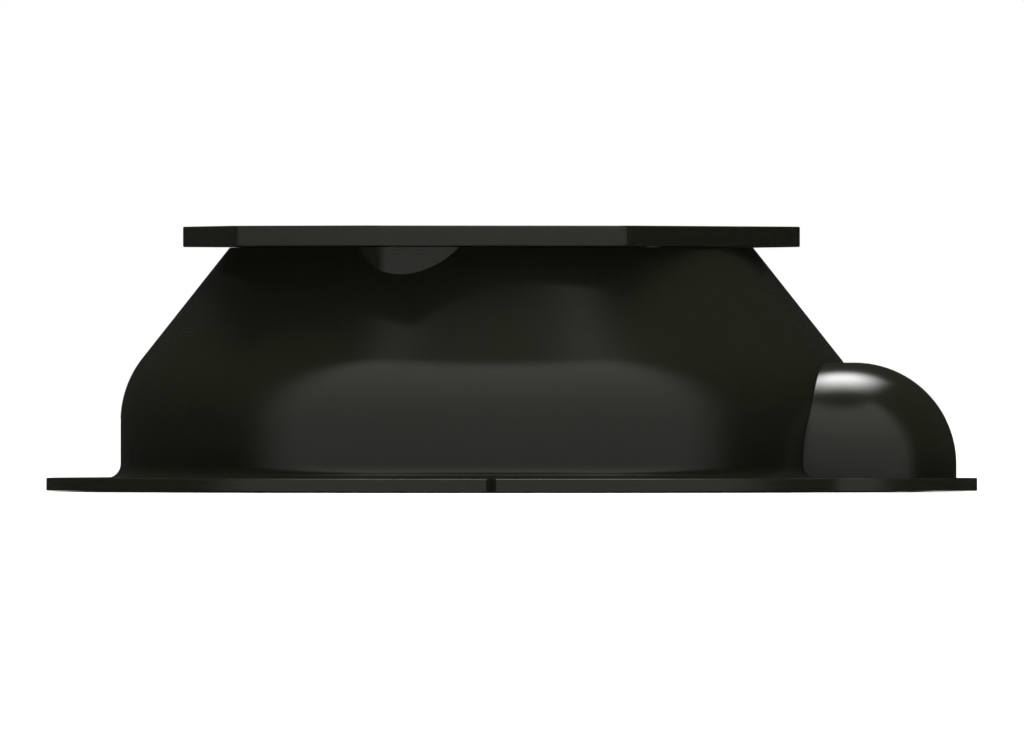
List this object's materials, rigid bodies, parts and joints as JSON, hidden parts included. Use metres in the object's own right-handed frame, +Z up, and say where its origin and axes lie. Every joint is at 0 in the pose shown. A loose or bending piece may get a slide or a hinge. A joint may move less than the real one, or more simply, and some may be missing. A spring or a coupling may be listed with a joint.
{
  "type": "roof vent",
  "caption": "Low round caravan roof vent: a drum and cone shell on a flange, with a lifting flat cap plate, a fan, an insect screen and a side dome over its terminals.",
  "frame": {"origin": "on the drum's axis, in the underside of the flange, which is the face that lies on the roof", "axes": "+Z up out of the roof along the drum's axis; +X roughly towards the side dome; -Y towards the flange's front centre mark"},
  "size_m": [0.2327, 0.2228, 0.066],
  "materials": {
    "shell_plastic": "glossy moulded ASA, near black",
    "cap_plastic": "glossy moulded ASA, near black",
    "dome_plastic": "glossy moulded ASA, near black",
    "inner_plastic": "fine matt moulded",
    "fan_plastic": "satin moulded",
    "knob_plastic": "satin moulded, light grey",
    "terminal_plastic": "satin moulded",
    "bush_nylon": "natural nylon",
    "seal_rubber": "soft EPDM",
    "lead_sleeve": "matt PVC",
    "screw_steel": "zinc plated",
    "stainless": "turned stainless",
    "spring_steel": "blued",
    "laminations": "stamped electrical steel",
    "magnet_ferrite": "bonded ferrite",
    "copper_wire": "enamelled copper wire",
    "sintered_bronze": "sintered, oiled",
    "circuit_board": "green solder mask",
    "woven_mesh": "woven glass fibre mesh"
  },
  "bodies": {
    "housing": {"base_shell": "shell_plastic", "flange_seal": "seal_rubber", "side_dome": "dome_plastic", "dome_seal": "seal_rubber", "dome_screws": "screw_steel", "terminal_block": "terminal_plastic", "terminal_screws": "screw_steel", "cable_grommet": "seal_rubber", "lead_grommet": "seal_rubber", "motor_lead": "lead_sleeve", "fan_deck": "inner_plastic", "deck_screws": "screw_steel", "spindle_bush": "bush_nylon", "screen_frame": "inner_plastic", "insect_screen": "woven_mesh", "fan_frame": "inner_plastic", "frame_screws": "screw_steel", "motor_board": "circuit_board", "stator_core": "laminations", "stator_coils": "copper_wire", "shaft_bush": "sintered_bronze"},
    "fan": {"fan_wheel": "fan_plastic", "rotor_yoke": "laminations", "magnet_ring": "magnet_ferrite", "fan_shaft": "stainless", "shaft_clip": "spring_steel"},
    "cap": {"cap_plate": "cap_plastic", "cap_seal": "seal_rubber", "lift_sleeve": "bush_nylon", "guide_pins": "stainless", "cap_screws": "stainless"},
    "lift_screw": {"lift_spindle": "stainless", "spindle_clip": "spring_steel", "lift_knob": "knob_plastic", "knob_screw": "screw_steel"}
  },
  "joints": [
    {"name": "knob_turn", "type": "hinge", "parent": "housing", "child": "lift_screw", "pos_m": [-0.01738, -0.05165, 0], "axis": [0, 0, 1], "range_deg": [0, 720]},
    {"name": "cap_lift", "type": "slide", "parent": "housing", "child": "cap", "axis": [0, 0, 1], "range_m": [0, 0.012]},
    {"name": "fan_spin", "type": "hinge", "parent": "housing", "child": "fan", "pos_m": [0, 0, 0.03], "axis": [0, 0, 1], "continuous": true}
  ],
  "couplings": [
    {"joint": "knob_turn", "follows": "cap_lift", "rad_per_m": 1047.2}
  ]
}
